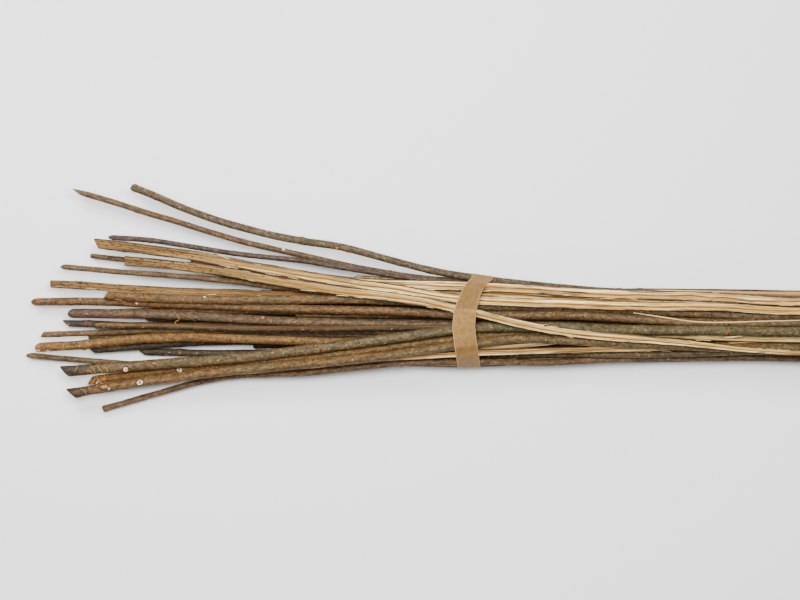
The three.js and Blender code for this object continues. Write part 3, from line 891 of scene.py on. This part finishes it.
def band_radius(x, middle, angle, v, rng):
    """How far the strip lies from the bundle's middle at each of its points."""
    slices = np.linspace(-26 * MM, 48 * MM, 15) + origin_x
    fine = np.arange(AROUND) / AROUND * TURN
    reach = np.array([polar(section(place, 0.45 * MM), middle, fine) for place in slices])
    row = (x - slices[0]) / (slices[1] - slices[0])
    row = np.clip(row, 0, len(slices) - 1.001)
    column = (angle / TURN * AROUND)[:, None] % AROUND
    r0, c0 = row.astype(int), np.broadcast_to(column.astype(int), row.shape)
    fr, fc = row - r0, column - column.astype(int)
    c1 = (c0 + 1) % AROUND
    radius = (reach[r0, c0] * (1 - fc) + reach[r0, c1] * fc) * (1 - fr)
    radius += (reach[r0 + 1, c0] * (1 - fc) + reach[r0 + 1, c1] * fc) * fr
    # the outer end climbs over the inner one and lies on it
    over = np.clip((angle - (BAND_BEGINS + TURN - math.radians(16))) / math.radians(14), 0, 1)
    radius += (over**2 * (3 - 2 * over) * OVERLAP_LIFT * MM)[:, None]
    # slack: shallow waves, a lifted right edge on the upper slope and one slanted crease
    for count, size in ((9, 0.07), (23, 0.05), (41, 0.03)):
        waves = np.sin(angle[:, None] * count + v[None, :] * rng.uniform(2, 7) + rng.uniform(0, 6))
        radius += np.clip(waves, 0, 1) * size * MM
    slope = hump(np.degrees(angle) - 360 - 42, 14)[:, None]
    radius += slope * np.clip(v[None, :] * 2, 0, 1) ** 2 * EDGE_LIFT * MM
    crease = np.degrees(angle)[:, None] - (84 + v[None, :] * 34)
    radius += CREASE_LIFT * MM * hump(crease, 3)
    worn = np.abs(v[None, :]) ** 8 * 0.12 * MM * np.sin(angle[:, None] * 57 + 3 * v[None, :])
    return radius + np.abs(worn)


def band_faces():
    """The faces of a closed sheet: its outer side, its inner side, and its four edges."""
    index = np.arange(BAND_ROWS * BAND_COLUMNS).reshape(BAND_ROWS, BAND_COLUMNS)
    lower = index + BAND_ROWS * BAND_COLUMNS
    rows = []
    for k in range(BAND_COLUMNS - 1):
        rows += [(index[:, k], index[:, k + 1]), (lower[:, k + 1], lower[:, k])]
    rows += [(lower[:, 0], index[:, 0]), (index[:, -1], lower[:, -1])]
    rows += [(index[0], lower[0]), (lower[-1], index[-1])]
    faces = []
    for a, b in rows:
        faces += np.stack([a[:-1], a[1:], b[1:], b[:-1]], axis=-1).tolist()
    return faces


def build_band():
    """The paper strip: once round the bundle, its end stuck down over its beginning on top."""
    box_low, box_high = (np.array(corner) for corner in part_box("paper_band"))
    middle = np.array([(box_low[1] + box_high[1]) / 2, box_high[2] * 0.5])
    angle = np.linspace(BAND_BEGINS, BAND_ENDS, BAND_ROWS)
    v = np.linspace(-0.5, 0.5, BAND_COLUMNS)
    x = band_places(middle, angle, v)
    radius = band_radius(x, middle, angle, v, np.random.default_rng(7))
    y = middle[0] + radius * np.cos(angle)[:, None]
    z = middle[1] + radius * np.sin(angle)[:, None]
    outer = np.stack([x, y, np.maximum(z, PAPER + 0.15 * MM)], axis=-1)
    normal = np.cross(np.gradient(outer, axis=1), np.gradient(outer, axis=0))
    normal /= np.linalg.norm(normal, axis=-1, keepdims=True)
    facing = normal[..., 1] * np.cos(angle)[:, None] + normal[..., 2] * np.sin(angle)[:, None]
    normal *= math.copysign(1, facing.mean())
    inner = outer - normal * PAPER
    steps = np.linalg.norm(np.diff(outer[:, BAND_COLUMNS // 2], axis=0), axis=1)
    length = np.concatenate([[0], np.cumsum(steps)])
    sheet = np.stack([
        np.broadcast_to(length[:, None], x.shape),
        np.broadcast_to(v[None, :] * BAND_WIDTH, x.shape),
        np.zeros(x.shape),
    ], axis=-1)
    # painted light along the strip: its beginning is brightened as a painted sheen highlight, and
    # its stuck-down end darkened as painted shade
    sheen_and_shade_places = [0, 38 * MM, 60 * MM, length[-1] - 46 * MM, length[-1] - 38 * MM]
    sheen_and_shade = np.interp(length, sheen_and_shade_places, [1.22, 1.12, 0.96, 0.96, 0.8])
    # the outer side and the inner side have the same numbers
    values = {
        "sheet": np.concatenate([sheet.reshape(-1, 3)] * 2),
        "sheen_and_shade": np.concatenate([np.repeat(sheen_and_shade, BAND_COLUMNS)] * 2),
        "rim": np.concatenate([np.tile(np.abs(v) * 2, BAND_ROWS)] * 2),
    }
    vertices = np.concatenate([outer.reshape(-1, 3), inner.reshape(-1, 3)])
    faces = band_faces()
    piece = add_mesh("paper_band_look", vertices, faces, [0] * len(faces), [PAPER_LOOK], values)
    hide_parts("paper_band")


build_band()


def top_at(x, y):
    """How high the twigs reach at a place seen from above."""
    best = 0.0
    for route in routes:
        if not route[0, 0] + 2 * MM <= x <= route[-1, 0]:
            continue
        cy, cz, r = (np.interp(x, route[:, 0], route[:, k]) for k in (1, 2, 3))
        if abs(y - cy) < r:
            best = max(best, cz + math.sqrt(r * r - (y - cy) ** 2))
    return best


def tube(path, thick, sides):
    """Points and faces of a thin round stalk along a path, thinner towards its ends."""
    along = np.gradient(path, axis=0)
    along /= np.linalg.norm(along, axis=1, keepdims=True)
    first = np.cross(along, [0.0, 0.0, 1.0])
    first /= np.linalg.norm(first, axis=1, keepdims=True) + 1e-9
    second = np.cross(first, along)
    share = np.linspace(0, 1, len(path))
    radius = thick / 2 * (0.45 + 0.55 * np.sin(np.pi * np.clip(share, 0.04, 0.96)) ** 0.5)
    around = np.arange(sides) / sides * TURN
    spokes = [wave(around)[None, :, None] * radius[:, None, None] for wave in (np.cos, np.sin)]
    grid = path[:, None] + first[:, None] * spokes[0] + second[:, None] * spokes[1]
    points = grid.reshape(-1, 3)
    numbers = list(range(len(points)))
    return points, sleeve(len(path), sides) + [numbers[:sides][::-1], numbers[-sides:]]


def laid(row, count, gap):
    """A line through places [across, along], in millimetres, that lies over the twigs with a gap."""
    places = np.array(row, float) * MM
    fine = np.linspace(0, 1, count)
    flat = smooth_read(np.linspace(0, 1, len(places)), places, fine)
    y = flat[:, 0] + origin_y
    x = flat[:, 1] + origin_x
    top = np.array([top_at(px, py) for px, py in zip(x, y)])
    lifted = np.array([top[max(0, i - 4) : i + 5].max() for i in range(len(top))])
    smooth = np.convolve(np.pad(lifted, 5, mode="edge"), np.ones(11) / 11, mode="valid")
    return np.column_stack([x, y, np.maximum(smooth, top) + gap])


class Strands:
    """Thin tubes gathered into one piece. Each has its own stretch of the material's noise."""

    def __init__(self):
        self.vertices, self.faces, self.stems, self.slots = [], [], [], []
        self.base = 0

    def add(self, path, thick, sides, slot=0):
        vertices, faces = tube(path, thick, sides)
        vertices[:, 2] = np.maximum(vertices[:, 2], LOWEST)
        self.vertices.append(vertices)
        along = np.repeat(np.linspace(0, 0.03, len(path)) + len(self.vertices), sides)
        around = np.tile(np.arange(sides) * 0.0003, len(path))
        self.stems.append(np.column_stack([along, around, along * 0]))
        self.faces += [[v + self.base for v in face] for face in faces]
        self.slots += [slot] * len(faces)
        self.base += len(vertices)

    def finish(self, name, materials, slot):
        values = {"stem": np.concatenate(self.stems)}
        vertices = np.concatenate(self.vertices)
        piece = add_mesh(name, vertices, self.faces, self.slots, materials, values)


def build_stalks():
    """Dry grass stalks caught round the twigs near their butt ends, with places [across, along]."""
    rng = np.random.default_rng(5)
    strands = Strands()
    paths = [
        [(-62, -472), (-66, -466), (-72, -463), (-78, -465), (-84, -470), (-88, -467)],
        [(-57, -468), (-63, -463), (-70, -461), (-76, -458), (-80, -452), (-78, -446)],
        [(-58, -455), (-60, -449), (-66, -446), (-72, -449), (-77, -455)],
        [(-55, -460), (-61, -457), (-67, -452), (-73, -450), (-79, -452)],
        [(-54, -484), (-59, -485), (-65, -487)],
        [(-86, -480), (-89, -475), (-93, -473)],
        [(-28.5, -503), (-33, -502), (-38, -503)],
        [(26, -438), (24, -428), (21, -424)],
        [(7, -360), (1, -357), (-3, -362), (-8, -358)],
    ]
    for row in paths:
        strands.add(laid(row, 40, 0.35 * MM), rng.uniform(0.7, 1.0) * MM, 6)
    strands.finish("dry_grass_stalks", [STRAW_LOOK], "split_wood")


def build_torn_fibres():
    """Torn fibres at the edges of the split faces, a long loose sliver, and a short curled one."""
    rng = np.random.default_rng(11)
    strands = Strands()
    for name, start, end, count in TORN:
        route = route_of[name]
        for _ in range(count):
            length = rng.uniform(5, 20) * MM * rng.choice([-1, 1])
            first = origin_x + rng.uniform(start, end) * MM
            t = np.linspace(0, 1, 10)
            x = first + length * t
            cy, cz, r, turn = (np.interp(x, route[:, 0], route[:, k]) for k in (1, 2, 3, 4))
            side = rng.choice([-1, 1])
            inward = rng.uniform(0.4, 1.0) if rng.random() < 0.5 else 0.97
            lift = t**1.7 * rng.uniform(0.3, 1.8) * MM
            across = side * (inward * 0.95 * r + lift * 0.6)
            height = FACE_HEIGHT * r + 0.1 * MM + lift
            y = cy + across * np.cos(turn) + height * np.sin(turn)
            z = cz + height * np.cos(turn) - across * np.sin(turn)
            thick = rng.uniform(0.35, 0.85) * MM
            of_bark = int(rng.random() < 0.55)
            strands.add(np.column_stack([x, y, z]), thick, 5, of_bark)
    for row, thick in LOOSE:
        strands.add(laid(row, 90, 0.4 * MM), thick * MM, 6)
    curl = laid([(-21.5, 324), (-21.1, 339), (-20.4, 352)], 24, 0.4 * MM)
    rise = np.linspace(0, 1, len(curl)) ** 2
    curl[:, 1] += rise * 2.6 * MM
    curl[:, 2] += rise * 6.5 * MM
    strands.add(curl, 2.2 * MM, 6)
    strands.finish("torn_fibres", [SPLINTER_LOOK, SHRED_LOOK], "split_wood")


build_stalks()
build_torn_fibres()

# The pale floor
floor_mesh = bpy.data.meshes.new("floor")
FLOOR_HALF = 4.0
corners = [(x * FLOOR_HALF, y * FLOOR_HALF, 0) for x, y in ((-1, -1), (1, -1), (1, 1), (-1, 1))]
floor_mesh.from_pydata(corners, [], [(0, 1, 2, 3)])
floor = bpy.data.objects.new("floor", floor_mesh)
bpy.context.scene.collection.objects.link(floor)
floor_mesh.materials.append(Look("floor_look").finish((0.9, 0.9, 0.9, 1), 0.9))


def add_light(name, place, size, power):
    """A soft rectangular light that shines on the part's middle."""
    data = bpy.data.lights.new(name, "AREA")
    data.shape = "RECTANGLE"
    data.size, data.size_y = size
    data.energy = power
    lamp = bpy.data.objects.new(name, data)
    bpy.context.scene.collection.objects.link(lamp)
    lamp.location = place
    away = np.array(place) / np.linalg.norm(place)
    flat = math.hypot(away[0], away[1])
    lamp.rotation_euler = (math.atan2(flat, away[2]), 0, math.atan2(away[0], -away[1]))


add_light("top", (-0.2, 0.45, 2.4), (1.8, 0.8), 118)
add_light("key", (-1.1, 1.3, 1.7), (1.2, 0.7), 62)
add_light("fill", (0.6, -1.7, 1.5), (2.0, 0.9), 9)

world = bpy.data.worlds.new("studio")
world.use_nodes = True
background = world.node_tree.nodes["Background"]
background.inputs["Color"].default_value = (0.95, 0.97, 1.0, 1)
background.inputs["Strength"].default_value = 0.18
bpy.context.scene.world = world

# The camera looks straight down on the photograph's middle, [-81, 25] mm from the band's middle
camera_data = bpy.data.cameras.new("camera")
camera_data.lens = LENS
camera_data.sensor_width = SENSOR
camera = bpy.data.objects.new("camera", camera_data)
bpy.context.scene.collection.objects.link(camera)
camera_height = MEASURED_AT + WIDTH_ON_PHOTO * LENS / SENSOR
camera.location = (origin_x - 81 * MM, origin_y + 25 * MM, camera_height)
camera.rotation_euler = (0, 0, 0)
bpy.context.scene.camera = camera
